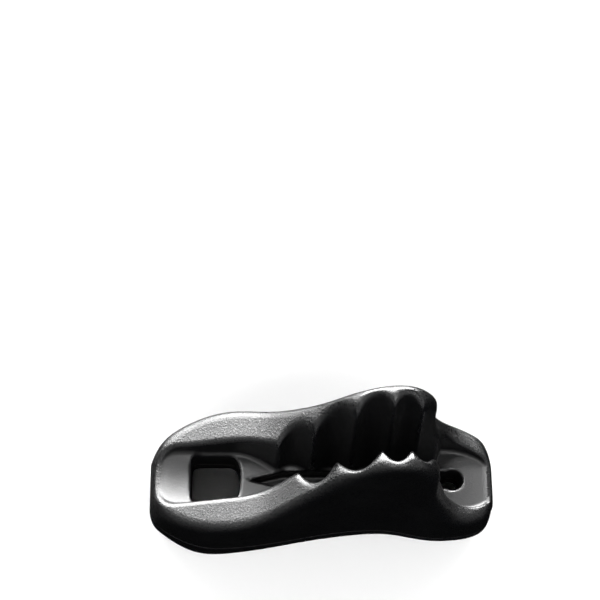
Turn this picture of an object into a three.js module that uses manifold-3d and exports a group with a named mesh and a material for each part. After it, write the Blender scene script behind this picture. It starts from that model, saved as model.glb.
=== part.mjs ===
// Rope clam cleat: a moulded grip for a thin rope, made of two shells that meet at a flat seam.
//
// Millimetres, +Z up. The cleat lies on its back with its mouth up. X runs from the fairlead end
// (-X) to the knot end (+X), Y runs across the two cheeks, and Z runs from the back rims (0) to
// the tips of the jaws. A station is a distance along X from the fairlead end.

import * as THREE from 'three';
import { mergeVertices } from 'three/addons/utils/BufferGeometryUtils.js';
import Module from 'manifold-3d';

const wasm = await Module();
wasm.setup();

// Driving dimensions of the outer form
const LENGTH = 90;
const SEAM_HEIGHT = 10;
const SEAM_GAP = 0.2;
const CUT_CLEARANCE = 2;
const TALLEST = 60;
const WIDEST = 20;
const SLIVER = 0.01; // edges shorter than this are merged

// Side outline of a cheek, [station, height]: over the top from the fairlead end to the knot end,
// then back under the spine. The back rims are straight, at height 0.
const SIDE_OUTLINE = [
  [0.1, 5.5], [0.2, 12], [3, 18.5], [11, 22], [20, 25], [29, 28], [36.5, 34], [44, 42], [51, 50.5],
  [59, 56.3], [66, 56.7], [70.3, 53], [72.7, 47], [73, 39], [75.4, 29], [79.6, 22.6], [84.5, 19.9],
  [88.6, 17.7], [89.8, 14.5], [90, 9.5], [88.4, 4],
];
const BACK_CORNER = 4;
const RIM_POINTS = 13; // points of the outline that lie on the jaws' rim
const END_SLOPE = [82, 21.2]; // station and height on the slope behind the jaws
const OUTLINE_STEPS = 72;

// Half of the width over the two cheeks, [station, half width], at three heights
const RIM_HALF_WIDTH = [
  [0, 7.8], [5, 11.4], [13, 15.2], [24, 16.3], [36, 13.9], [47, 12], [57, 11.3], [66, 11.2],
  [72, 11.8], [77, 13.6], [81, 13.4], [85, 12], [88, 10], [90, 7.6],
];
const SEAM_HALF_WIDTH = [
  [0, 8.4], [2.5, 10.8], [6.5, 13.4], [13, 16], [20, 16.5], [30, 15.5], [40, 13.8], [50, 12.2],
  [57, 11.7], [63, 11.9], [69.5, 13.2], [76, 13.8], [80, 13.5], [85.5, 12.3], [88, 10.6], [90, 7.8],
];
const BACK_HALF_WIDTH = [
  [0, 7], [6.5, 12], [13, 14.8], [20, 14.9], [30, 13.4], [40, 11.4], [50, 10], [60, 8.9],
  [70, 9.4], [78, 10.4], [84, 9.8], [88, 8], [90, 6.4],
];
const WIDTH_STEPS = 45;
const HEIGHT_STEPS = 12;

// Mouth: the space between the cheeks, open upwards
const MOUTH_START = 1.8;
const MOUTH_CORNER = 5;
const LANDING_HEIGHT = 17.2;
const PLATE_HEIGHT = 17;
const GROOVE_FLOOR = 13;
const GROOVE_HALF_WIDTH = 2.2;
const GROOVE_START = 26;
const GROOVE_POINT = 9; // length of the pointed lead-in
const FAIRLEAD_HALF_WIDTH = 7.4;
const FAIRLEAD_END = 22;

// Curved walls beside the knot plate, [station, half width]: start, control point and end
const NEAR_PLATE_WALL = [[76.5, 7.2], [85, 10.8], [92, 3.4]];
const FAR_PLATE_WALL = [[76.5, 8.4], [85, 8.6], [92, 1.5]];
const JAWS_START = 30;
const JAWS_END = 74;
const JAWS_OUTER_GAP = 10.4; // half width that the far jaw's end curves towards
const MOUTH_STEPS = 9;
const NARROWING = 0.6; // share of the rim's gap that the jaws lose down to the landing
const NARROWING_RUN = 12; // stations past the start of the jaws before they have lost it all

// Ridge tips of the two toothed cheeks at the rim, [station, half gap]; the two rows are staggered
const FAR_TIPS = [[33.6, 3.9], [42.4, 4], [52.5, 4.3], [61.5, 4.9], [68.5, 4.9]];
const NEAR_TIPS = [[38.5, 4], [47.7, 4.6], [58.2, 5.2], [65.4, 5.4], [70.9, 5.6]];
const SCALLOP_DEPTH = 4.4;
const RIDGE_PITCH = 9;
const SCALLOP_STEPS = 6;

// Through openings in the web between the cheeks
const WINDOW = { start: 11, end: 22.7, halfWidth: 6.4, corner: 2 };
const KNOT_HOLE = { station: 79, radius: 2.7 };
const SLOT_START = 69;

// Shallow channel between the back rims, [first station, last station], and the cored pockets in
// it, which leave ribs across the channel
const CHANNEL = [6, 86];
const CHANNEL_CEILING = 2.6;
const POCKETS = [[8, 33], [40, 58], [66, 85]];
const POCKET_CEILING = 7;
const WALL = 2.4;
const POCKET_DRAFT = 0.8;
const RECESS_CORNER = 3;

// Dowels that hold the two shells together, [station, offset from the middle]
const DOWEL_PLACES = [[4.6, 4.6], [4.6, -4.6], [62, 5.4], [62, -5.4]];
const DOWEL_RADIUS = 1.2;
const DOWEL_CLEARANCE = 0.3;
const DOWEL_LENGTH = 10;

const moulded = new THREE.MeshStandardMaterial({ color: 0x1d1e20, roughness: 0.55, metalness: 0 });
const steel = new THREE.MeshStandardMaterial({ color: 0x8d9094, roughness: 0.35, metalness: 1 });

// A smooth curve through [place, value] pairs
function curveThrough(pairs) {
  const places = pairs.map((pair) => pair[0]);
  const values = pairs.map((pair) => pair[1]);
  const interpolant = new THREE.CubicInterpolant(places, values, 1);
  return (place) => interpolant.evaluate(THREE.MathUtils.clamp(place, places[0], places.at(-1)))[0];
}

const rimHalfWidth = curveThrough(RIM_HALF_WIDTH);
const seamHalfWidth = curveThrough(SEAM_HALF_WIDTH);
const backHalfWidth = curveThrough(BACK_HALF_WIDTH);

// Height of the cheeks' rim over each station
const rimHeight = curveThrough([...SIDE_OUTLINE.slice(0, RIM_POINTS), END_SLOPE]);

// A closed mesh as a solid for cutting and joining
function solid(geometry) {
  geometry.deleteAttribute('normal');
  geometry.deleteAttribute('uv');
  const merged = mergeVertices(geometry);
  const mesh = new wasm.Mesh({
    numProp: 3,
    vertProperties: Float32Array.from(merged.attributes.position.array),
    triVerts: Uint32Array.from(merged.index.array),
  });
  return new wasm.Manifold(mesh);
}

// A solid as a named sub-part
function part(name, body, material) {
  const result = body.getMesh();
  const geometry = new THREE.BufferGeometry();
  geometry.setAttribute('position', new THREE.BufferAttribute(result.vertProperties, 3));
  geometry.setIndex(new THREE.BufferAttribute(result.triVerts, 1));
  geometry.computeVertexNormals();
  const mesh = new THREE.Mesh(geometry, material);
  mesh.name = name;
  return mesh;
}

// Moves each corner of a geometry to the place that the function gives it
function reshape(geometry, move) {
  const position = geometry.attributes.position;
  const corner = new THREE.Vector3();
  for (let index = 0; index < position.count; index += 1) {
    corner.fromBufferAttribute(position, index);
    move(corner);
    position.setXYZ(index, corner.x, corner.y, corner.z);
  }
  return geometry;
}

// A plan outline drawn up from one height to another
function upright(shape, low, high, steps = 1, curveSegments = SCALLOP_STEPS) {
  const depth = high - low;
  const geometry = new THREE.ExtrudeGeometry(shape, { depth, steps, curveSegments, bevelEnabled: false });
  return geometry.translate(0, 0, low);
}

// A plan outline from a half width on each side over a run of stations
function plan(start, end, steps, leftHalf, rightHalf = leftHalf) {
  const points = [];
  for (let step = 0; step <= steps; step += 1) {
    const station = THREE.MathUtils.lerp(start, end, step / steps);
    points.push(new THREE.Vector2(station, -rightHalf(station)));
  }
  for (let step = steps; step >= 0; step -= 1) {
    const station = THREE.MathUtils.lerp(start, end, step / steps);
    points.push(new THREE.Vector2(station, leftHalf(station)));
  }
  return new THREE.Shape(points);
}

// Half width of the outer skin: the back rims curve out to the seam, and the cheeks flare to the rim
function skinHalfWidth(station, height) {
  if (height < SEAM_HEIGHT) {
    const rise = 1 - (1 - Math.max(height, 0) / SEAM_HEIGHT) ** 2;
    return THREE.MathUtils.lerp(backHalfWidth(station), seamHalfWidth(station), rise);
  }
  const flare = (height - SEAM_HEIGHT) / (rimHeight(station) - SEAM_HEIGHT);
  return THREE.MathUtils.lerp(seamHalfWidth(station), rimHalfWidth(station), Math.min(flare, 1.2));
}

// The cheeks' side outline, drawn across the whole width
function sideSlab() {
  const shape = new THREE.Shape();
  const points = SIDE_OUTLINE.map(([station, height]) => new THREE.Vector2(station, height));
  shape.moveTo(BACK_CORNER, 0);
  shape.quadraticCurveTo(0.6, 0, points[0].x, points[0].y);
  shape.splineThru(points.slice(1));
  shape.quadraticCurveTo(LENGTH - 1.6, 0, LENGTH - BACK_CORNER - 2, 0);
  shape.closePath();
  const outline = new THREE.Shape(shape.getSpacedPoints(OUTLINE_STEPS));
  const depth = 2 * WIDEST;
  const geometry = new THREE.ExtrudeGeometry(outline, { depth, steps: 1, bevelEnabled: false });
  return solid(geometry.rotateX(Math.PI / 2).translate(0, WIDEST, 0));
}

// The flared block that the side outline is cut from
function flaredBlock() {
  const shape = plan(-1, LENGTH + 1, WIDTH_STEPS, rimHalfWidth);
  const geometry = upright(shape, -1, TALLEST, HEIGHT_STEPS);
  const follow = (corner) => {
    corner.y = Math.sign(corner.y) * skinHalfWidth(corner.x, corner.z);
  };
  return solid(reshape(geometry, follow));
}

// Adds one cheek's row of ridges and scallops to the mouth's outline
function addTeeth(shape, tips, side) {
  for (let index = 1; index < tips.length; index += 1) {
    const [fromStation, fromGap] = tips[index - 1];
    const [toStation, toGap] = tips[index];
    const middle = (fromStation + toStation) / 2;
    const fullDepth = Math.min(1, Math.abs(toStation - fromStation) / RIDGE_PITCH);
    const bulge = (fromGap + toGap) / 2 + 2 * SCALLOP_DEPTH * fullDepth;
    shape.quadraticCurveTo(middle, side * bulge, toStation, side * toGap);
  }
}

// Plan outline of the mouth at the rim
function mouthOutline() {
  const shape = new THREE.Shape();
  const reversedFar = [...FAR_TIPS].reverse();
  const [firstNear] = NEAR_TIPS;
  const lastNear = NEAR_TIPS.at(-1);
  const [lastFar] = reversedFar;
  const firstFar = reversedFar.at(-1);
  const half = FAIRLEAD_HALF_WIDTH;
  const [nearStart, nearControl, nearEnd] = NEAR_PLATE_WALL;
  const [farStart, farControl, farEnd] = FAR_PLATE_WALL;
  shape.moveTo(MOUTH_START, 0);
  shape.quadraticCurveTo(MOUTH_START, -half + 0.6, MOUTH_START + MOUTH_CORNER, -half);
  shape.lineTo(FAIRLEAD_END, -half);
  shape.quadraticCurveTo(JAWS_START, -half, firstNear[0], -firstNear[1]);
  addTeeth(shape, NEAR_TIPS, -1);
  shape.quadraticCurveTo(JAWS_END + 1.4, -lastNear[1] - 1, nearStart[0], -nearStart[1]);
  shape.quadraticCurveTo(nearControl[0], -nearControl[1], nearEnd[0], -nearEnd[1]);
  shape.lineTo(farEnd[0], farEnd[1]);
  shape.quadraticCurveTo(farControl[0], farControl[1], farStart[0], farStart[1]);
  shape.quadraticCurveTo(JAWS_END, JAWS_OUTER_GAP, lastFar[0], lastFar[1]);
  addTeeth(shape, reversedFar, 1);
  shape.quadraticCurveTo(JAWS_START - 1, half, FAIRLEAD_END, half);
  shape.lineTo(MOUTH_START + MOUTH_CORNER, half);
  shape.quadraticCurveTo(MOUTH_START, half - 0.6, MOUTH_START, 0);
  return shape;
}

// How far the mouth has narrowed at a height: it stays wide at both ends and is a V at the jaws
function mouthTaper(station, height) {
  const intoJaws = THREE.MathUtils.smoothstep(station, FAIRLEAD_END, JAWS_START + NARROWING_RUN);
  const outOfJaws = 1 - THREE.MathUtils.smoothstep(station, JAWS_END, FAR_PLATE_WALL[0][0]);
  const narrowing = NARROWING * intoJaws * outOfJaws;
  const depth = (rimHeight(station) - height) / (rimHeight(station) - LANDING_HEIGHT);
  return 1 - narrowing * THREE.MathUtils.clamp(depth, 0, 1);
}

function mouth() {
  const geometry = upright(mouthOutline(), PLATE_HEIGHT, TALLEST, MOUTH_STEPS);
  return solid(reshape(geometry, (corner) => {
    corner.y *= mouthTaper(corner.x, corner.z);
  }));
}

// The bottom of the V, which starts as a point in the floor behind the window
function groove() {
  const shape = new THREE.Shape();
  shape.moveTo(GROOVE_START, 0);
  shape.lineTo(GROOVE_START + GROOVE_POINT, -GROOVE_HALF_WIDTH);
  shape.lineTo(KNOT_HOLE.station, -GROOVE_HALF_WIDTH);
  shape.lineTo(KNOT_HOLE.station, GROOVE_HALF_WIDTH);
  shape.lineTo(GROOVE_START + GROOVE_POINT, GROOVE_HALF_WIDTH);
  shape.closePath();
  return solid(upright(shape, GROOVE_FLOOR, PLATE_HEIGHT + 1));
}

// The rope's window, with rounded corners
function windowOpening() {
  const { start, end, halfWidth, corner } = WINDOW;
  const shape = new THREE.Shape();
  shape.moveTo(start + corner, -halfWidth);
  shape.lineTo(end - corner, -halfWidth);
  shape.quadraticCurveTo(end + 1, -halfWidth, end + 1, 0);
  shape.quadraticCurveTo(end + 1, halfWidth, end - corner, halfWidth);
  shape.lineTo(start + corner, halfWidth);
  shape.quadraticCurveTo(start, halfWidth, start, halfWidth - corner);
  shape.lineTo(start, corner - halfWidth);
  shape.quadraticCurveTo(start, -halfWidth, start + corner, -halfWidth);
  return solid(upright(shape, -CUT_CLEARANCE, LANDING_HEIGHT + CUT_CLEARANCE));
}

// The round hole for the knotted end, and the slot that opens it to the groove
function knotHole() {
  const { station, radius } = KNOT_HOLE;
  const hole = new THREE.CylinderGeometry(radius, radius, TALLEST, 32);
  const middle = (SLOT_START + station) / 2;
  const slot = new THREE.BoxGeometry(station - SLOT_START, 2 * GROOVE_HALF_WIDTH, TALLEST);
  const round = solid(hole.rotateX(Math.PI / 2).translate(station, 0, 0));
  return round.add(solid(slot.translate(middle, 0, 0)));
}

// A recess in the back with rounded ends, open downwards, whose walls follow the skin
function recess([start, end], ceiling, wall) {
  const inside = (station) => {
    const intoRecess = Math.min(station - start, end - station) / RECESS_CORNER;
    const open = THREE.MathUtils.clamp(intoRecess, 0, 1);
    const round = Math.max(Math.sqrt(open * (2 - open)), 0.6);
    return (backHalfWidth(station) - wall) * round;
  };
  const steps = Math.ceil((end - start) / 2);
  return solid(upright(plan(start, end, steps, inside), -CUT_CLEARANCE, ceiling));
}

// An upright round bar centred on the seam
function seamBar([station, offset], radius, length) {
  const bar = new THREE.CylinderGeometry(radius, radius, length, 20);
  return solid(bar.rotateX(Math.PI / 2).translate(station, offset, SEAM_HEIGHT));
}

// The whole space between two heights
function layer(low, high) {
  const box = new THREE.BoxGeometry(LENGTH + 20, 2 * WIDEST + 20, high - low);
  return solid(box.translate(LENGTH / 2, 0, (low + high) / 2));
}

function mouldedForm() {
  let form = sideSlab().intersect(flaredBlock());
  const pockets = POCKETS.map((span) => recess(span, POCKET_CEILING, WALL + POCKET_DRAFT));
  const channel = recess(CHANNEL, CHANNEL_CEILING, WALL);
  const cuts = [mouth(), groove(), windowOpening(), knotHole(), channel, ...pockets];
  for (const cut of cuts) {
    form = form.subtract(cut);
  }
  for (const place of DOWEL_PLACES) {
    const radius = DOWEL_RADIUS + DOWEL_CLEARANCE;
    form = form.subtract(seamBar(place, radius, DOWEL_LENGTH + 2 * DOWEL_CLEARANCE));
  }
  return form;
}

// The part of the moulded form between two heights, without slivers
function shell(form, low, high) {
  return form.intersect(layer(low, high)).asOriginal().simplify(SLIVER);
}

const form = mouldedForm();
const jawShell = shell(form, SEAM_HEIGHT + SEAM_GAP / 2, TALLEST + 10);
const backShell = shell(form, -10, SEAM_HEIGHT - SEAM_GAP / 2);

const cleat = new THREE.Group();
cleat.add(part('jaw_shell', jawShell, moulded));
cleat.add(part('back_shell', backShell, moulded));
DOWEL_PLACES.forEach((place, index) => {
  cleat.add(part(`dowel_${index + 1}`, seamBar(place, DOWEL_RADIUS, DOWEL_LENGTH), steel));
});
cleat.position.x = -LENGTH / 2;

export default cleat;
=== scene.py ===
"""Looks of the moulded rope clam cleat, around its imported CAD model.

The cleat's two moulded shells are drawn again as smooth, filleted surfaces. One signed distance
describes the whole moulded form. It is negative inside the plastic, and nearly every edge in it
is a round one. Each shell is the part of that form on its side of the seam, and its mesh is drawn
where the distance is zero. The dowels stay the CAD ones, with a ground steel material.

The form is in millimetres. A station is a distance along X from the fairlead end.
"""

import math

import bpy
import numpy as np
from mathutils import Euler, Matrix, Vector


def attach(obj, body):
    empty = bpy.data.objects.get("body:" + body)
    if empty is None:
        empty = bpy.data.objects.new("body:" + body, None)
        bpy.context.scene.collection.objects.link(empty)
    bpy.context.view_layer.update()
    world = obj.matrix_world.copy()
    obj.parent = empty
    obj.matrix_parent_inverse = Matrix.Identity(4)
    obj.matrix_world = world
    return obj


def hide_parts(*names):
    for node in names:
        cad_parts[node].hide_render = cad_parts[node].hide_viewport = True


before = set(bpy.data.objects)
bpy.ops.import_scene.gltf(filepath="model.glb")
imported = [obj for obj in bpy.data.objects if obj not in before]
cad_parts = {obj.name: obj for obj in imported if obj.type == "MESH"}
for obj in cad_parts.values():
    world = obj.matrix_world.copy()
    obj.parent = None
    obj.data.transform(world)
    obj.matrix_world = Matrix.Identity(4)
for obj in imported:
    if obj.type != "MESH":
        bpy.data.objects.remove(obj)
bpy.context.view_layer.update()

MM = 0.001

# Outer form, mostly with the CAD model's driving dimensions. The seam's gap is half of that
# model's, because round edges widen it here, and the turns into the back rims differ by up to 1 mm.
LENGTH = 90.0
SEAM_HEIGHT = 10.0
SEAM_GAP = 0.1
SEAM_EDGE_RADIUS = 0.2
SIDE_OUTLINE = [
    (0.1, 5.5), (0.2, 12), (3, 18.5), (11, 22), (20, 25), (29, 28), (36.5, 34), (44, 42), (51, 50.5),
    (59, 56.3), (66, 56.7), (70.3, 53), (72.7, 47), (73, 39), (75.4, 29), (79.6, 22.6), (84.5, 19.9),
    (88.6, 17.7), (89.8, 14.5), (90, 9.5), (88.4, 4),
]
RIM_HEIGHT = [(0, 13), *SIDE_OUTLINE[2:13], (82, 21.2)]  # ends on the slope behind the jaws
OUTLINE_BLUR = 0.35

# Where the side outline turns into the straight back rims: stations of the control point and the end
FAIRLEAD_TURN = (0.6, 4)
KNOT_TURN = (LENGTH - 2.4, LENGTH - 5)

# Half of the width over the two cheeks, by station, at three heights
RIM_HALF_WIDTH = [
    (0, 7.8), (5, 11.4), (13, 15.2), (24, 16.3), (36, 13.9), (47, 12), (57, 11.3), (66, 11.2),
    (72, 11.8), (77, 13.6), (81, 13.4), (85, 12), (88, 10), (90, 7.6),
]
SEAM_HALF_WIDTH = [
    (0, 8.4), (2.5, 10.8), (6.5, 13.4), (13, 16), (20, 16.5), (30, 15.5), (40, 13.8), (50, 12.2),
    (57, 11.7), (63, 11.9), (69.5, 13.2), (76, 13.8), (80, 13.5), (85.5, 12.3), (88, 10.6), (90, 7.8),
]
BACK_HALF_WIDTH = [
    (0, 7), (6.5, 12), (13, 14.8), (20, 14.9), (30, 13.4), (40, 11.4), (50, 10), (60, 8.9),
    (70, 9.4), (78, 10.4), (84, 9.8), (88, 8), (90, 6.4),
]
MOST_FLARE = 1.2  # where the flare ends, as a share of the way from the seam to the rim
RIM_EDGE_RADIUS = 2.6
BACK_EDGE_RADIUS = 1.2
EDGE_CHANGE = (4, 14)  # heights between which the back's edge radius turns into the rim's

# Mouth between the cheeks
MOUTH_START = 1.8
MOUTH_CORNER = 5
MOUTH_END_BOW = 0.6
LANDING_HEIGHT = 17.2
LANDING_RUN = 3  # stations past the window's start over which the landing's crown fades out
SADDLE_RISE = 1.5
LIP_START = 5.5
LIP_DROP = 0.05
PLATE_HEIGHT = 17.0
FAIRLEAD_HALF_WIDTH = 7.4
FAIRLEAD_END = 22.0
NEAR_PLATE_WALL = [(76.5, 7.2), (85, 10.8), (92, 3.4)]
FAR_PLATE_WALL = [(76.5, 8.4), (85, 8.6), (92, 1.5)]
JAWS_OUTER_GAP = 10.4
JAWS_START = 30.0
JAWS_END = 74.0
FAR_ENTRY_STATION = JAWS_START - 1
NEAR_EXIT_STATION = JAWS_END + 1.4
NEAR_EXIT_OUT = 1
NARROWING = 0.6
NARROWING_RUN = 12

# Ridge tips of the two toothed cheeks at the rim, (station, half gap); the two rows are staggered
FAR_TIPS = [(33.6, 3.9), (42.4, 4), (52.5, 4.3), (61.5, 4.9), (68.5, 4.9)]
NEAR_TIPS = [(38.5, 4), (47.7, 4.6), (58.2, 5.2), (65.4, 5.4), (70.9, 5.6)]
SCALLOP_DEPTH = 4.4
RIDGE_PITCH = 9.0
RIDGE_BLUR = 0.45

# Radius of the mouth's edge on each cheek, by station
NEAR_EDGE_RADIUS = [(30, 1.2), (42, 1.7), (70, 1.7), (76, 1.2), (86, 0.5)]
FAR_EDGE_RADIUS = [(30, 1.2), (42, 2.1), (60, 2.1), (76, 1.2), (86, 0.5)]
FLOOR_FILLET = 1.2

# Openings and recesses
GROOVE_START = 26.0
GROOVE_POINT = 9.0  # length of the pointed lead-in
GROOVE_LEAST_SHARE = -0.5
GROOVE_HALF_WIDTH = 2.2
GROOVE_FLOOR = 13.0
GROOVE_FILLET = 0.6
GROOVE_EDGE_RADIUS = 0.3
WINDOW = {"start": 11.0, "end": 22.7, "half_width": 6.4, "corner": 2.0}
WINDOW_BOW = 1
WINDOW_EDGE_RADIUS = 0.6
KNOT_HOLE = (79.0, 2.7)  # station and radius
KNOT_HOLE_EDGE_RADIUS = 0.2
SLOT_START = 69.0
CHANNEL = (6.0, 86.0)
CHANNEL_CEILING = 2.6
CHANNEL_FILLET = 0.8
POCKETS = [(8.0, 33.0), (40.0, 58.0), (66.0, 85.0)]
POCKET_CEILING = 7.0
POCKET_FILLET = 2.4
WALL = 2.4
POCKET_DRAFT = 0.8
RECESS_CORNER = 3
RECESS_EDGE_RADIUS = 0.4
DOWEL_PLACES = [(4.6, 4.6), (4.6, -4.6), (62, 5.4), (62, -5.4)]
DOWEL_HOLE = (1.5, 5.3)  # radius, and depth on each side of the seam

# Mesh grid and distance tables
CELL = 0.5
GRID_MARGIN = 1.25
GRID_HALF_WIDTH = 18.25
SEAM_LAYERS = [-0.1, 0.2, 0.45, 0.75, 1.1, 1.5]  # distances from the seam
TALLEST = 58.0
CURVE_DENSITY = 20  # points per millimetre in a curve's table
TABLE_STEP = 0.2
SIDE_TABLE_MARGIN = 3
MOUTH_TABLE_MARGIN = 2
MOUTH_TABLE_HALF = 22
WINDOW_TABLE_REACH = (12, 14, 20)  # past the window: back, on and across
CORE_DEPTH = (0.6, 1.6)  # depths under the skin between which a face turns into an inner one

# Colours, dark and light, and depths of the relief in metres
NYLON_COLOURS = ((0.0004, 0.00042, 0.0005), (0.005, 0.0052, 0.006))
STEEL_COLOURS = ((0.48, 0.49, 0.51), (0.62, 0.63, 0.65))
FLOOR_COLOURS = ((0.95, 0.95, 0.95), (0.98, 0.98, 0.98))
GRAIN_DEPTH = 0.22 * MM
GRINDING_DEPTH = 0.01 * MM

# Sky: brightness below the first height on its unit sphere and above the second one
SKY_HEIGHTS = (0.3, 0.6)
SKY_BRIGHTNESS = (5.5, 0.01)

# Lights that the cleat reflects: name, place, width and height in metres, power
REFLECTED_LIGHTS = [
    ("strip_behind", (-0.12, 0.6, 0.29), 1.1, 0.5, 68),
    ("softbox_left", (-0.15, 0.25, 0.57), 0.34, 0.15, 3.6),
    ("softbox_above", (0.0, -0.22, 0.65), 0.5, 0.25, 2.5),
]

# Low lights all round: name, place in metres, power
FILL_SIZE = (1.4, 0.5)
FILLS = [
    ("fill_front", (0, -0.7, 0.4), 1.4),
    ("fill_behind", (0, 0.7, 0.4), 4),
    ("fill_left", (-0.7, 0, 0.4), 2),
    ("fill_right", (0.7, 0, 0.4), 2.5),
]

# Lights for the floor, which the cleat doesn't reflect: name, place in metres, power
WASH_SIZE = (1.6, 0.3)
FLOOR_WASHES = [
    ("wash_front", (0, -0.52, 0.5), 8.3),
    ("wash_behind", (0, 0.52, 0.5), 5),
]

# Camera: lens and sensor in millimetres, place in metres, tilt in degrees
AIM = (0, 0, 0.02)
CAMERA_LENS = 108.2
CAMERA_SENSOR = 36
CAMERA_RIGHT = (0.9993, -0.0106, 0.0363)
CAMERA_DIRECTION = (-0.0378, -0.3253, 0.9449)
CAMERA_DISTANCE = 0.4695
CAMERA_TILT = (5.57, 0.7)


def smooth_curve(pairs):
    """A function through (place, value) pairs, with no kink in its slope: a natural cubic spline."""
    x = np.array([p[0] for p in pairs], float)
    v = np.array([p[1] for p in pairs], float)
    h = np.diff(x)
    size = len(x)
    a = np.eye(size)
    b = np.zeros(size)
    for i in range(1, size - 1):
        a[i, i - 1:i + 2] = h[i - 1], 2 * (h[i - 1] + h[i]), h[i]
        b[i] = 6 * ((v[i + 1] - v[i]) / h[i] - (v[i] - v[i - 1]) / h[i - 1])
    bend = np.linalg.solve(a, b)
    table_x = np.linspace(x[0], x[-1], 1 + int((x[-1] - x[0]) * CURVE_DENSITY))
    i = np.clip(np.searchsorted(x, table_x, side="right") - 1, 0, size - 2)
    left, right = table_x - x[i], x[i + 1] - table_x
    table = (bend[i] * right**3 + bend[i + 1] * left**3) / (6 * h[i])
    table += (v[i] / h[i] - bend[i] * h[i] / 6) * right
    table += (v[i + 1] / h[i] - bend[i + 1] * h[i] / 6) * left
    return lambda place: np.interp(place, table_x, table)


def smoothstep(x, low, high):
    """A share that rises smoothly from 0 at low to 1 at high."""
    t = np.clip((x - low) / (high - low), 0, 1)
    return t * t * (3 - 2 * t)


def meet(a, b, radius):
    """The space inside both a and b, with a round edge of that radius where they meet."""
    corner = np.hypot(np.maximum(a + radius, 0), np.maximum(b + radius, 0))
    return np.minimum(-radius, np.maximum(a, b)) + corner


def cut(a, b, radius):
    """The space inside a and outside b, with a round edge."""
    return meet(a, -b, radius)


def quadratic(start, control, end, steps=8):
    """Points of a quadratic curve, without its start."""
    t = np.linspace(0, 1, steps + 1)[1:, None]
    a, b, c = np.array([start, control, end], float)
    return list((1 - t) ** 2 * a + 2 * t * (1 - t) * b + t**2 * c)


def spline_through(points, steps=8):
    """A smooth line through plan points, spaced by the square root of their distances."""
    p = np.array(points, float)
    t = np.r_[0, np.cumsum(np.sqrt(np.hypot(*np.diff(p, axis=0).T)))]
    fine = np.linspace(0, t[-1], steps * len(p))
    stretch = 20  # keeps the curves' tables fine
    along = [smooth_curve(list(zip(t * stretch, p[:, axis]))) for axis in (0, 1)]
    return list(np.stack([curve(fine * stretch) for curve in along], 1))


class Outline:
    """Signed distance to a closed outline in a plane, negative inside, from a table."""

    def __init__(self, loop, low, high, blur=0.0):
        loop = np.array(loop, float)
        self.low = np.array(low, float)
        self.shape = np.ceil((np.array(high) - self.low) / TABLE_STEP).astype(int) + 1
        axes = [self.low[k] + TABLE_STEP * np.arange(self.shape[k]) for k in (0, 1)]
        x, y = np.meshgrid(*axes, indexing="ij")
        nearest = np.full(x.shape, 1e9)
        inside = np.zeros(x.shape, bool)
        for a, b in zip(loop, np.roll(loop, -1, 0)):
            edge = b - a
            length = edge @ edge
            if length < 1e-12:
                continue
            t = np.clip(((x - a[0]) * edge[0] + (y - a[1]) * edge[1]) / length, 0, 1)
            reach = (x - a[0] - t * edge[0]) ** 2 + (y - a[1] - t * edge[1]) ** 2
            nearest = np.minimum(nearest, reach)
            if a[1] != b[1]:
                crosses = (a[1] > y) != (b[1] > y)
                inside ^= crosses & (x < a[0] + (y - a[1]) * edge[0] / edge[1])
        self.table = np.sqrt(nearest) * np.where(inside, -1, 1)
        if blur:
            self.blur(blur / TABLE_STEP)

    def blur(self, sigma):
        """Rounds the outline's corners, by a Gaussian blur of the table over sigma cells."""
        reach = int(3 * sigma) + 1
        weights = np.exp(-0.5 * (np.arange(-reach, reach + 1) / sigma) ** 2)
        weights /= weights.sum()
        for axis in (0, 1):
            pads = [(reach, reach) if k == axis else (0, 0) for k in (0, 1)]
            padded = np.pad(self.table, pads, mode="edge")
            count = self.table.shape[axis]
            parts = [np.take(padded, range(k, k + count), axis) for k in range(len(weights))]
            self.table = sum(w * part for w, part in zip(weights, parts))

    def __call__(self, x, y):
        x, y = np.broadcast_arrays((x - self.low[0]) / TABLE_STEP, (y - self.low[1]) / TABLE_STEP)
        x = np.clip(x, 0, self.shape[0] - 1.001)
        y = np.clip(y, 0, self.shape[1] - 1.001)
        i, j = x.astype(int), y.astype(int)
        s, t = x - i, y - j
        t00, t10 = self.table[i, j], self.table[i + 1, j]
        t01, t11 = self.table[i, j + 1], self.table[i + 1, j + 1]
        return (t00 * (1 - s) + t10 * s) * (1 - t) + (t01 * (1 - s) + t11 * s) * t


# --- the moulded form ---------------------------------------------------------------------------

rim_half_width = smooth_curve(RIM_HALF_WIDTH)
seam_half_width = smooth_curve(SEAM_HALF_WIDTH)
back_half_width = smooth_curve(BACK_HALF_WIDTH)
rim_height = smooth_curve(RIM_HEIGHT)


def side_outline():
    """Side view of a cheek, closed under the straight back rims."""
    first, last = SIDE_OUTLINE[0], SIDE_OUTLINE[-1]
    fairlead_control, fairlead_end = [(station, 0) for station in FAIRLEAD_TURN]
    knot_control, knot_end = [(station, 0) for station in KNOT_TURN]
    loop = [fairlead_end] + quadratic(fairlead_end, fairlead_control, first)
    loop += spline_through(SIDE_OUTLINE)[1:]
    loop += quadratic(last, knot_control, knot_end)
    margin = SIDE_TABLE_MARGIN
    return Outline(loop, (-margin, -margin), (LENGTH + margin, TALLEST + margin), OUTLINE_BLUR)


def add_teeth(loop, tips, side):
    """One cheek's row of ridges and scallops."""
    for (from_station, from_gap), (to_station, to_gap) in zip(tips, tips[1:]):
        full = min(1, abs(to_station - from_station) / RIDGE_PITCH)
        bulge = (from_gap + to_gap) / 2 + 2 * SCALLOP_DEPTH * full
        middle = (from_station + to_station) / 2
        start, end = (from_station, side * from_gap), (to_station, side * to_gap)
        loop += quadratic(start, (middle, side * bulge), end)


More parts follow.
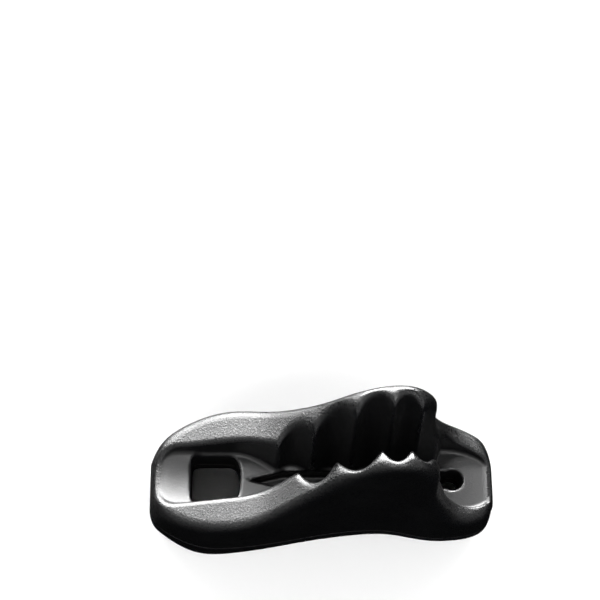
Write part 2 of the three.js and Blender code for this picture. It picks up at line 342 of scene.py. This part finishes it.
def mouth_outline():
    """Plan of the mouth at the rim, from the fairlead end round the near cheek and the far one."""
    half = FAIRLEAD_HALF_WIDTH
    near_wall = [(station, -y) for station, y in NEAR_PLATE_WALL]
    far_wall = FAR_PLATE_WALL[::-1]
    far = FAR_TIPS[::-1]
    (first_station, first_gap), (last_station, last_gap) = NEAR_TIPS[0], NEAR_TIPS[-1]
    corner = MOUTH_START + MOUTH_CORNER
    near_exit = (NEAR_EXIT_STATION, -last_gap - NEAR_EXIT_OUT)
    loop = quadratic((MOUTH_START, 0), (MOUTH_START, MOUTH_END_BOW - half), (corner, -half))
    loop += [(FAIRLEAD_END, -half)]
    loop += quadratic((FAIRLEAD_END, -half), (JAWS_START, -half), (first_station, -first_gap))
    add_teeth(loop, NEAR_TIPS, -1)
    loop += quadratic((last_station, -last_gap), near_exit, near_wall[0])
    loop += quadratic(*near_wall)
    loop += [far_wall[0]] + quadratic(*far_wall)
    loop += quadratic(far_wall[-1], (JAWS_END, JAWS_OUTER_GAP), far[0])
    add_teeth(loop, far, 1)
    loop += quadratic(far[-1], (FAR_ENTRY_STATION, half), (FAIRLEAD_END, half))
    loop += [(corner, half)]
    loop += quadratic((corner, half), (MOUTH_START, half - MOUTH_END_BOW), (MOUTH_START, 0))
    margin, across = MOUTH_TABLE_MARGIN, MOUTH_TABLE_HALF
    return Outline(loop, (-margin, -across), (LENGTH + margin, across), RIDGE_BLUR)


def window_outline():
    """Plan of the rope's window, whose inner end is bowed."""
    start, end, half, corner = (WINDOW[key] for key in ("start", "end", "half_width", "corner"))
    bow = end + WINDOW_BOW
    loop = [(start + corner, -half), (end - corner, -half)]
    loop += quadratic((end - corner, -half), (bow, -half), (bow, 0))
    loop += quadratic((bow, 0), (bow, half), (end - corner, half))
    loop += [(start + corner, half)]
    loop += quadratic((start + corner, half), (start, half), (start, half - corner))
    loop += [(start, corner - half)]
    loop += quadratic((start, corner - half), (start, -half), (start + corner, -half))
    back, on, across = WINDOW_TABLE_REACH
    return Outline(loop, (start - back, -across), (end + on, across))


side_distance = side_outline()
mouth_distance = mouth_outline()
window_distance = window_outline()


def skin_half_width(station, height):
    """Half width of the skin: the back rims curve out to the seam, the cheeks flare to the rim."""
    rise = 1 - (1 - np.clip(height / SEAM_HEIGHT, 0, 1)) ** 2
    flare = np.clip((height - SEAM_HEIGHT) / (rim_height(station) - SEAM_HEIGHT), 0, MOST_FLARE)
    seam = seam_half_width(station)
    low = back_half_width(station) + (seam - back_half_width(station)) * rise
    high = seam + (rim_half_width(station) - seam) * flare
    return np.where(height < SEAM_HEIGHT, low, high)


def outer_form(station, y, height):
    """The cheeks' block without its openings."""
    step = 0.25
    half = skin_half_width(station, height)
    before, after = (skin_half_width(station + move, height) for move in (-step, step))
    slope = (after - before) / (2 * step)
    skin = (np.abs(y) - half) / np.sqrt(1 + slope**2)
    change = smoothstep(height, *EDGE_CHANGE)
    radius = BACK_EDGE_RADIUS + (RIM_EDGE_RADIUS - BACK_EDGE_RADIUS) * change
    return meet(side_distance(station, height), skin, radius)


def mouth_form(station, y, height):
    """The space between the cheeks: wide at both ends, a V at the jaws, over a saddle of a landing."""
    narrowing = NARROWING * smoothstep(station, FAIRLEAD_END, JAWS_START + NARROWING_RUN)
    narrowing = narrowing * (1 - smoothstep(station, JAWS_END, FAR_PLATE_WALL[0][0]))
    rim = rim_height(station)
    depth = np.clip((rim - height) / (rim - LANDING_HEIGHT), 0, 1)
    taper = 1 - narrowing * depth
    walls = mouth_distance(station, y / taper) * taper
    landing = 1 - smoothstep(station, WINDOW["start"], WINDOW["start"] + LANDING_RUN)
    rise = SADDLE_RISE * (y / FAIRLEAD_HALF_WIDTH) ** 2
    drop = LIP_DROP * np.minimum(station - LIP_START, 0) ** 2
    floor = PLATE_HEIGHT + landing * (rise - drop)
    return meet(walls, floor - height, FLOOR_FILLET)


def groove_form(station, y, height):
    """The bottom of the V. Its half width is negative before its pointed start, so it ends there."""
    share = np.clip((station - GROOVE_START) / GROOVE_POINT, GROOVE_LEAST_SHARE, 1)
    half = GROOVE_HALF_WIDTH * share
    past = station - KNOT_HOLE[0]
    return meet(np.maximum(np.abs(y) - half, past), GROOVE_FLOOR - height, GROOVE_FILLET)


def knot_hole_form(station, y):
    """The round hole for the knotted end, and the slot that opens it to the groove."""
    place, radius = KNOT_HOLE
    hole = np.hypot(station - place, y) - radius
    slot = np.maximum(np.abs(y) - GROOVE_HALF_WIDTH, np.maximum(SLOT_START - station, station - place))
    return np.minimum(hole, slot)


def recess_form(station, y, height, span, ceiling, wall, fillet):
    """A recess in the back, open downwards, whose walls follow the skin."""
    ends = np.maximum(span[0] - station, station - span[1])
    plan = meet(np.abs(y) - (back_half_width(station) - wall), ends, RECESS_CORNER)
    return meet(plan, height - ceiling, fillet)


def dowel_hole_form(station, y, height, place):
    """A blind hole for a dowel in both shells."""
    radius, reach = DOWEL_HOLE
    around = np.hypot(station - place[0], y - place[1]) - radius
    return np.maximum(around, np.abs(height - SEAM_HEIGHT) - reach)


def cleat_form(station, y, height):
    """Signed distance to the whole moulded form."""
    near_edge = np.interp(station, *zip(*NEAR_EDGE_RADIUS))
    far_edge = np.interp(station, *zip(*FAR_EDGE_RADIUS))
    mouth_edge = np.where(y > 0, far_edge, near_edge)
    form = cut(outer_form(station, y, height), mouth_form(station, y, height), mouth_edge)
    form = cut(form, groove_form(station, y, height), GROOVE_EDGE_RADIUS)
    form = cut(form, window_distance(station, y), WINDOW_EDGE_RADIUS)
    form = cut(form, knot_hole_form(station, y), KNOT_HOLE_EDGE_RADIUS)
    channel = recess_form(station, y, height, CHANNEL, CHANNEL_CEILING, WALL, CHANNEL_FILLET)
    form = cut(form, channel, RECESS_EDGE_RADIUS)
    pocket_wall = WALL + POCKET_DRAFT
    for span in POCKETS:
        pocket = recess_form(station, y, height, span, POCKET_CEILING, pocket_wall, POCKET_FILLET)
        form = cut(form, pocket, RECESS_EDGE_RADIUS)
    for place in DOWEL_PLACES:
        form = np.maximum(form, -dowel_hole_form(station, y, height, place))
    return form


def jaw_shell_form(station, y, height):
    """The moulded form above the seam."""
    seam = SEAM_HEIGHT + SEAM_GAP / 2 - height
    return meet(cleat_form(station, y, height), seam, SEAM_EDGE_RADIUS)


def back_shell_form(station, y, height):
    """The moulded form below the seam."""
    seam = height - SEAM_HEIGHT + SEAM_GAP / 2
    return meet(cleat_form(station, y, height), seam, SEAM_EDGE_RADIUS)


# --- mesh from a signed distance ------------------------------------------------------------------

def gradient(form, points, step=0.12):
    """Slope of the distance at each point."""
    parts = []
    for axis in range(3):
        offset = np.zeros(3)
        offset[axis] = step
        parts.append(form(*(points + offset).T) - form(*(points - offset).T))
    return np.stack(parts, 1) / (2 * step)


def onto_surface(form, points, rounds=2):
    """Moves points to where the distance is zero."""
    for _ in range(rounds):
        slope = gradient(form, points)
        move = form(*points.T)[:, None] * slope / np.maximum((slope**2).sum(1), 0.05)[:, None]
        points = points - np.clip(move, -CELL / 2, CELL / 2)
    return points


def even_out(points, quads, share=0.5):
    """Moves each point part of the way to the middle of its neighbours."""
    a = quads[:, [0, 1, 2, 3]].ravel()
    b = quads[:, [1, 2, 3, 0]].ravel()
    both = np.r_[a, b], np.r_[b, a]
    count = np.maximum(np.bincount(both[0], minlength=len(points)), 1)
    sums = [np.bincount(both[0], points[both[1], k], minlength=len(points)) for k in range(3)]
    return points + share * (np.stack(sums, 1) / count[:, None] - points)


def first_points(values, cells, axes):
    """For each cell that the surface crosses, the middle of the crossings on its edges."""
    corners = [(i, j, k) for i in (0, 1) for j in (0, 1) for k in (0, 1)]
    at = {c: values[tuple((cells + c).T)] for c in corners}
    total = np.zeros((len(cells), 3))
    count = np.zeros(len(cells))
    for start in corners:
        for axis in range(3):
            if start[axis]:
                continue
            end = tuple(1 if k == axis else start[k] for k in range(3))
            crosses = (at[start] < 0) != (at[end] < 0)
            change = np.where(crosses, at[start] - at[end], 1)
            t = np.where(crosses, at[start] / change, 0)
            for k in range(3):
                low = axes[k][cells[:, k] + start[k]]
                high = axes[k][cells[:, k] + end[k]]
                total[:, k] += np.where(crosses, low + t * (high - low), 0)
            count += crosses
    return total / count[:, None]


def surface_quads(inside, number):
    """Joins the points of the four cells round each grid edge that the surface crosses."""
    quads = []
    for axis in range(3):
        a, b = [k for k in range(3) if k != axis]
        here = [slice(1, -1)] * 3
        here[axis] = slice(0, -1)
        there = list(here)
        there[axis] = slice(1, None)
        start, end = inside[tuple(here)], inside[tuple(there)]
        for leaving in (True, False):
            crossed = (start & ~end) if leaving else (end & ~start)
            edges = np.argwhere(crossed)
            edges[:, a] += 1
            edges[:, b] += 1
            ring = []
            for back_a, back_b in ((1, 1), (0, 1), (0, 0), (1, 0)):
                cell = edges.copy()
                cell[:, a] -= back_a
                cell[:, b] -= back_b
                ring.append(number[tuple(cell.T)])
            if leaving == (axis == 1):
                ring.reverse()
            quads.append(np.stack(ring, 1))
    return np.concatenate(quads)


def surface_mesh(form, axes):
    """Points and quads of the surface where the form's distance is zero."""
    grid = np.meshgrid(*axes, indexing="ij", sparse=True)
    values = form(*grid)
    inside = values < 0
    corners_inside = inside.astype(np.int8)
    for axis in range(3):
        last = corners_inside.shape[axis] - 1
        low, high = (np.take(corners_inside, range(i, i + last), axis) for i in (0, 1))
        corners_inside = low + high
    active = (corners_inside > 0) & (corners_inside < 8)
    cells = np.argwhere(active)
    number = np.full(active.shape, -1)
    number[active] = np.arange(len(cells))
    points = first_points(values, cells, axes)
    quads = surface_quads(inside, number)
    for _ in range(2):
        points = onto_surface(form, even_out(points, quads))
    return points, quads


def height_lines(upwards):
    """Heights of the grid's layers from the seam up or down, closer together at the seam's edge."""
    layers = list(SEAM_LAYERS)
    limit = TALLEST + 1 - SEAM_HEIGHT if upwards else SEAM_HEIGHT + 1
    while layers[-1] < limit:
        layers.append(layers[-1] + CELL)
    lines = SEAM_HEIGHT + np.array(layers) * (1 if upwards else -1)
    return np.sort(lines)


def edge_share(form, points, reach=0.5):
    """How sharply the surface bends outwards at each point: 0 on flat stretches, 1 on tight edges."""
    around = -6 * form(*points.T)  # two for each axis
    for axis in range(3):
        offset = np.zeros(3)
        offset[axis] = reach
        around += form(*(points + offset).T) + form(*(points - offset).T)
    return np.clip(around / reach**2, 0, 1)


def inner_share(points):
    """1 on the faces that the mould's core made smoother: the mouth, the openings and the back."""
    station, y, height = points.T
    past_skin = skin_half_width(station, height) - np.abs(y)
    below_rim = -side_distance(station, height)
    return smoothstep(np.minimum(past_skin, below_rim), *CORE_DEPTH)


def shell_piece(name, form, upwards):
    """A shell's smooth mesh, with the shares that its material uses on each point."""
    stations = np.arange(-GRID_MARGIN, LENGTH + GRID_MARGIN + CELL / 2, CELL)
    across = np.arange(-GRID_HALF_WIDTH, GRID_HALF_WIDTH + CELL / 2, CELL)
    points, quads = surface_mesh(form, [stations, across, height_lines(upwards)])
    edge = edge_share(form, points)
    inner = inner_share(points)
    placed = (points - (LENGTH / 2, 0, 0)) * MM
    mesh = bpy.data.meshes.new(name)
    mesh.from_pydata(placed.tolist(), [], quads.tolist())
    mesh.polygons.foreach_set("use_smooth", [True] * len(mesh.polygons))
    for label, values in (("edge", edge), ("inner", inner)):
        attribute = mesh.attributes.new(label, "FLOAT", "POINT")
        attribute.data.foreach_set("value", values.astype(np.float32))
    mesh.validate()
    mesh.update()
    piece = bpy.data.objects.new(name, mesh)
    bpy.context.scene.collection.objects.link(piece)
    return piece


# --- materials ------------------------------------------------------------------------------------

def new_material(name):
    material = bpy.data.materials.new(name)
    material.use_nodes = True
    tree = material.node_tree
    return material, tree, tree.nodes["Principled BSDF"]


def add_node(tree, kind, **settings):
    node = tree.nodes.new(kind)
    for key, value in settings.items():
        setattr(node, key, value)
    return node


def noise(tree, scale, detail=3.0, roughness=0.6):
    """Noise in object space, with features of about 1/scale metres."""
    place = add_node(tree, "ShaderNodeTexCoord")
    node = add_node(tree, "ShaderNodeTexNoise")
    node.inputs["Scale"].default_value = scale
    node.inputs["Detail"].default_value = detail
    node.inputs["Roughness"].default_value = roughness
    tree.links.new(place.outputs["Object"], node.inputs["Vector"])
    return node.outputs["Fac"]


def ramp(tree, value, low, high, to_low, to_high):
    """Turns a value from low to high into one from to_low to to_high, and stops at both ends."""
    node = add_node(tree, "ShaderNodeMapRange")
    node.inputs["From Min"].default_value = low
    node.inputs["From Max"].default_value = high
    node.inputs["To Min"].default_value = to_low
    node.inputs["To Max"].default_value = to_high
    tree.links.new(value, node.inputs["Value"])
    return node.outputs["Result"]


def combine(tree, operation, a, b):
    """A sum, difference or product of node outputs or plain numbers."""
    node = add_node(tree, "ShaderNodeMath", operation=operation)
    for index, value in enumerate((a, b)):
        if isinstance(value, float):
            node.inputs[index].default_value = value
        else:
            tree.links.new(value, node.inputs[index])
    return node.outputs["Value"]


def attribute(tree, name):
    """A share that is stored on the mesh's points."""
    node = add_node(tree, "ShaderNodeAttribute", attribute_name=name)
    return node.outputs["Fac"]


def blend_colours(tree, share, first, second):
    """The first colour where the share is 0, the second one where it is 1."""
    node = add_node(tree, "ShaderNodeMix", data_type="RGBA")
    node.inputs["A"].default_value = (*first, 1)
    node.inputs["B"].default_value = (*second, 1)
    tree.links.new(share, node.inputs["Factor"])
    return node.outputs["Result"]


def moulded_nylon():
    """Near-black glass-filled nylon: spark-eroded grain outside, smoother inside, glossier edges whose
    colour carries a painted highlight.
    """
    material, tree, shader = new_material("moulded_nylon")
    edge = attribute(tree, "edge")
    inner = attribute(tree, "inner")
    grain = noise(tree, 2000, 4, 0.7)
    pits = noise(tree, 900, 2)
    patches = noise(tree, 70, 3)
    outside = ramp(tree, inner, 0, 1, 1.0, 0.18)
    grained = combine(tree, "MULTIPLY", outside, ramp(tree, edge, 0.1, 0.9, 1.0, 0.25))
    height = combine(tree, "ADD", grain, combine(tree, "MULTIPLY", pits, 0.25))
    bump = add_node(tree, "ShaderNodeBump")
    bump.inputs["Distance"].default_value = GRAIN_DEPTH
    tree.links.new(combine(tree, "MULTIPLY", height, grained), bump.inputs["Height"])
    tree.links.new(bump.outputs["Normal"], shader.inputs["Normal"])
    rough = ramp(tree, patches, 0.3, 0.7, 0.4, 0.5)
    rough = combine(tree, "SUBTRACT", rough, combine(tree, "MULTIPLY", edge, 0.16))
    speckle = ramp(tree, grain, 0.42, 0.62, -0.06, 0.2)
    rough = combine(tree, "SUBTRACT", rough, combine(tree, "MULTIPLY", speckle, grained))
    tree.links.new(rough, shader.inputs["Roughness"])
    # Painted highlight: the base colour is lightened on tight outward edges, where the lights behind
    # the cleat glint
    painted_edge_highlight = combine(tree, "MULTIPLY", edge, 0.35)
    # Colour share from the grain's speckle, plus the painted edge highlight
    grain_and_edge_highlight = combine(tree, "ADD", ramp(tree, grain, 0.35, 0.75, 0.0, 0.6), painted_edge_highlight)
    colour = blend_colours(tree, grain_and_edge_highlight, *NYLON_COLOURS)
    tree.links.new(colour, shader.inputs["Base Color"])
    return material


def ground_steel():
    """Steel dowel, ground across its length."""
    material, tree, shader = new_material("ground_steel")
    place = add_node(tree, "ShaderNodeTexCoord")
    stretch = add_node(tree, "ShaderNodeMapping")
    stretch.inputs["Scale"].default_value = (300, 300, 9000)
    lines = add_node(tree, "ShaderNodeTexNoise")
    lines.inputs["Scale"].default_value = 1
    tree.links.new(place.outputs["Object"], stretch.inputs["Vector"])
    tree.links.new(stretch.outputs["Vector"], lines.inputs["Vector"])
    value = lines.outputs["Fac"]
    tree.links.new(ramp(tree, value, 0.3, 0.7, 0.22, 0.42), shader.inputs["Roughness"])
    colour = blend_colours(tree, value, *STEEL_COLOURS)
    tree.links.new(colour, shader.inputs["Base Color"])
    bump = add_node(tree, "ShaderNodeBump")
    bump.inputs["Distance"].default_value = GRINDING_DEPTH
    tree.links.new(value, bump.inputs["Height"])
    tree.links.new(bump.outputs["Normal"], shader.inputs["Normal"])
    shader.inputs["Metallic"].default_value = 1
    return material


def pale_floor():
    """A nearly white floor without a sheen."""
    material, tree, shader = new_material("pale_floor")
    colour = blend_colours(tree, noise(tree, 40), *FLOOR_COLOURS)
    tree.links.new(colour, shader.inputs["Base Color"])
    shader.inputs["Roughness"].default_value = 0.9
    shader.inputs["Specular IOR Level"].default_value = 0
    return material


# --- floor, light and camera ----------------------------------------------------------------------

def add_floor():
    """A plain square floor under the cleat, which the cleat doesn't reflect."""
    size = 3
    mesh = bpy.data.meshes.new("floor")
    corners = [(-size, -size, 0), (size, -size, 0), (size, size, 0), (-size, size, 0)]
    mesh.from_pydata(corners, [], [(0, 1, 2, 3)])
    floor = bpy.data.objects.new("floor", mesh)
    floor.data.materials.append(pale_floor())
    floor.visible_glossy = False
    floor.visible_diffuse = False
    bpy.context.scene.collection.objects.link(floor)


def add_softbox(name, place, width, height, power):
    """A rectangular light that faces the cleat."""
    light = bpy.data.lights.new(name, "AREA")
    light.shape = "RECTANGLE"
    light.size, light.size_y = width, height
    light.energy = power
    box = bpy.data.objects.new(name, light)
    box.location = place
    away = Vector(place) - Vector(AIM)
    box.rotation_euler = away.to_track_quat("Z", "Y").to_euler()
    bpy.context.scene.collection.objects.link(box)
    return box


def add_light():
    """A sky that is pale low down, lights that the cleat reflects, fills and lights for the floor."""
    world = bpy.data.worlds.new("studio")
    world.use_nodes = True
    tree = world.node_tree
    place = add_node(tree, "ShaderNodeTexCoord")
    split = add_node(tree, "ShaderNodeSeparateXYZ")
    tree.links.new(place.outputs["Generated"], split.inputs["Vector"])
    brightness = ramp(tree, split.outputs["Z"], *SKY_HEIGHTS, *SKY_BRIGHTNESS)
    tree.links.new(brightness, tree.nodes["Background"].inputs["Strength"])
    world.cycles_visibility.glossy = False
    bpy.context.scene.world = world
    for name, place, width, height, power in REFLECTED_LIGHTS:
        softbox = add_softbox(name, place, width, height, power)
        softbox.visible_diffuse = False
    for name, place, power in FILLS:
        add_softbox(name, place, *FILL_SIZE, power)
    for name, place, power in FLOOR_WASHES:
        wash = add_softbox(name, place, *WASH_SIZE, power)
        wash.visible_glossy = False
    bpy.context.scene.view_settings.view_transform = "Standard"


def add_camera():
    """The camera looks steeply down on the mouth, and the cleat lies low in its frame."""
    camera = bpy.data.cameras.new("camera")
    camera.lens = CAMERA_LENS
    camera.sensor_width = CAMERA_SENSOR
    camera.clip_start = 0.01
    body = bpy.data.objects.new("camera", camera)
    right = Vector(CAMERA_RIGHT).normalized()
    towards = Vector(CAMERA_DIRECTION).normalized()
    up = towards.cross(right).normalized()
    right = up.cross(towards)
    turned = Matrix((right, up, towards)).transposed()
    tilt = Euler((*map(math.radians, CAMERA_TILT), 0)).to_matrix()
    place = Vector(AIM) + towards * CAMERA_DISTANCE
    body.matrix_world = Matrix.Translation(place) @ (turned @ tilt).to_4x4()
    bpy.context.scene.collection.objects.link(body)
    bpy.context.scene.camera = body


add_camera()
add_light()
add_floor()

nylon = moulded_nylon()
shells = [("jaw_shell", jaw_shell_form, True), ("back_shell", back_shell_form, False)]
for node, form, upwards in shells:
    piece = shell_piece(f"{node}_moulded", form, upwards)
    piece.data.materials.append(nylon)
    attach(piece, "root")
    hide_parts(node)

steel = ground_steel()
for node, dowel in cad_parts.items():
    if node.startswith("dowel"):
        dowel.data.materials.clear()
        dowel.data.materials.append(steel)
